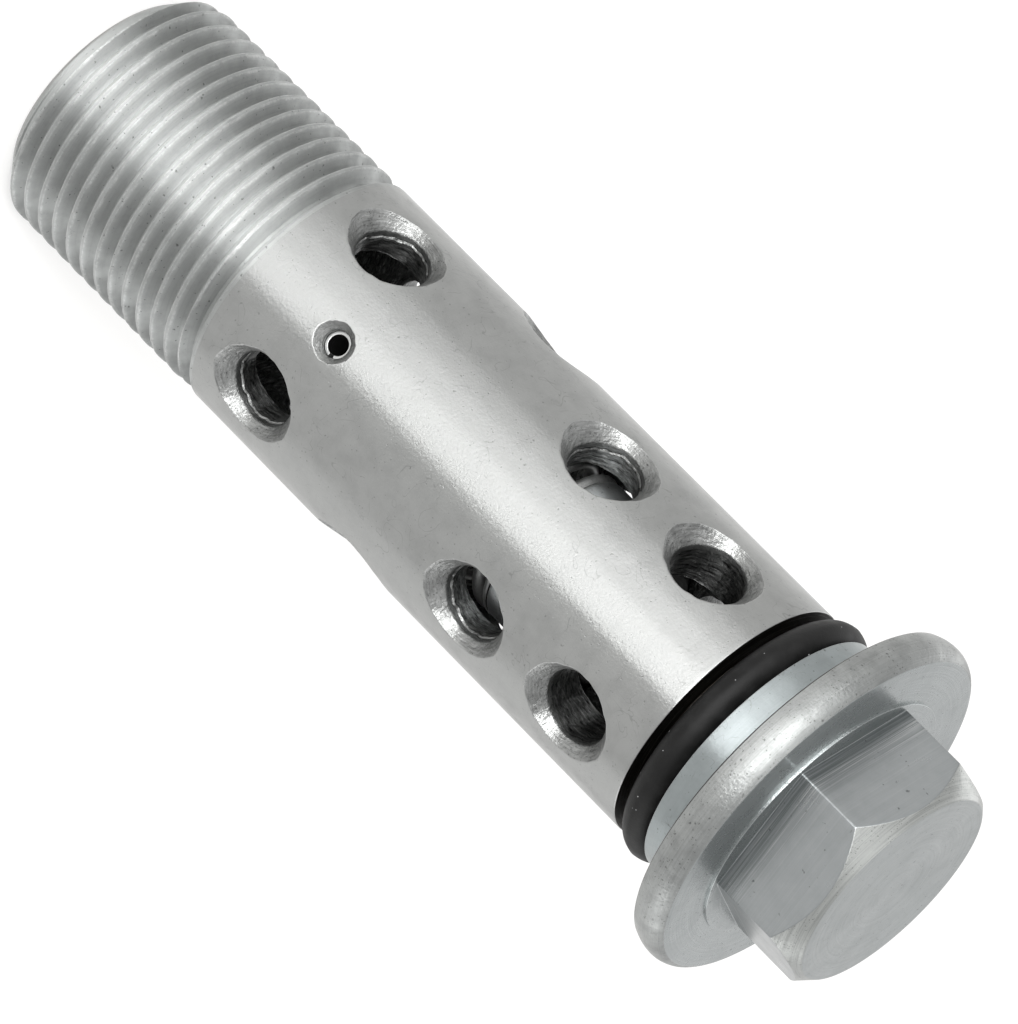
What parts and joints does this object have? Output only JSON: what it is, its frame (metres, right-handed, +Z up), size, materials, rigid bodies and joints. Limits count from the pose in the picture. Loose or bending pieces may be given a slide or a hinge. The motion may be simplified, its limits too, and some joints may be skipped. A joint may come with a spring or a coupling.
{
  "type": "oil filter bolt",
  "caption": "Hollow flanged hex bolt with an open threaded end, cross-drilled oil holes, an O-ring by its collar and a sprung bypass plunger inside.",
  "frame": {"origin": "centre of the open threaded end, which the bolt stands on", "axes": "+Z up the bolt's axis towards the hex head; -Y faces the near end of the roll pin; the pair of side oil holes opens along X"},
  "size_m": [0.0286, 0.0286, 0.0812],
  "materials": {
    "zinc_plated_steel": "clear zinc plate, satin",
    "black_rubber": "moulded, satin",
    "bright_steel": "fine turned",
    "spring_steel": "drawn, bright"
  },
  "bodies": {
    "bolt": {"bolt_body": "zinc_plated_steel", "o_ring": "black_rubber", "roll_pin": "spring_steel", "bypass_spring": "spring_steel"},
    "plunger": {"bypass_plunger": "bright_steel"}
  },
  "joints": [
    {"name": "bypass_slide", "type": "slide", "parent": "bolt", "child": "plunger", "axis": [0, 0, -1], "range_m": [0, 0.01], "stiffness_N_per_m": 400, "springref_m": -0.002, "deforming": ["bypass_spring"]}
  ]
}
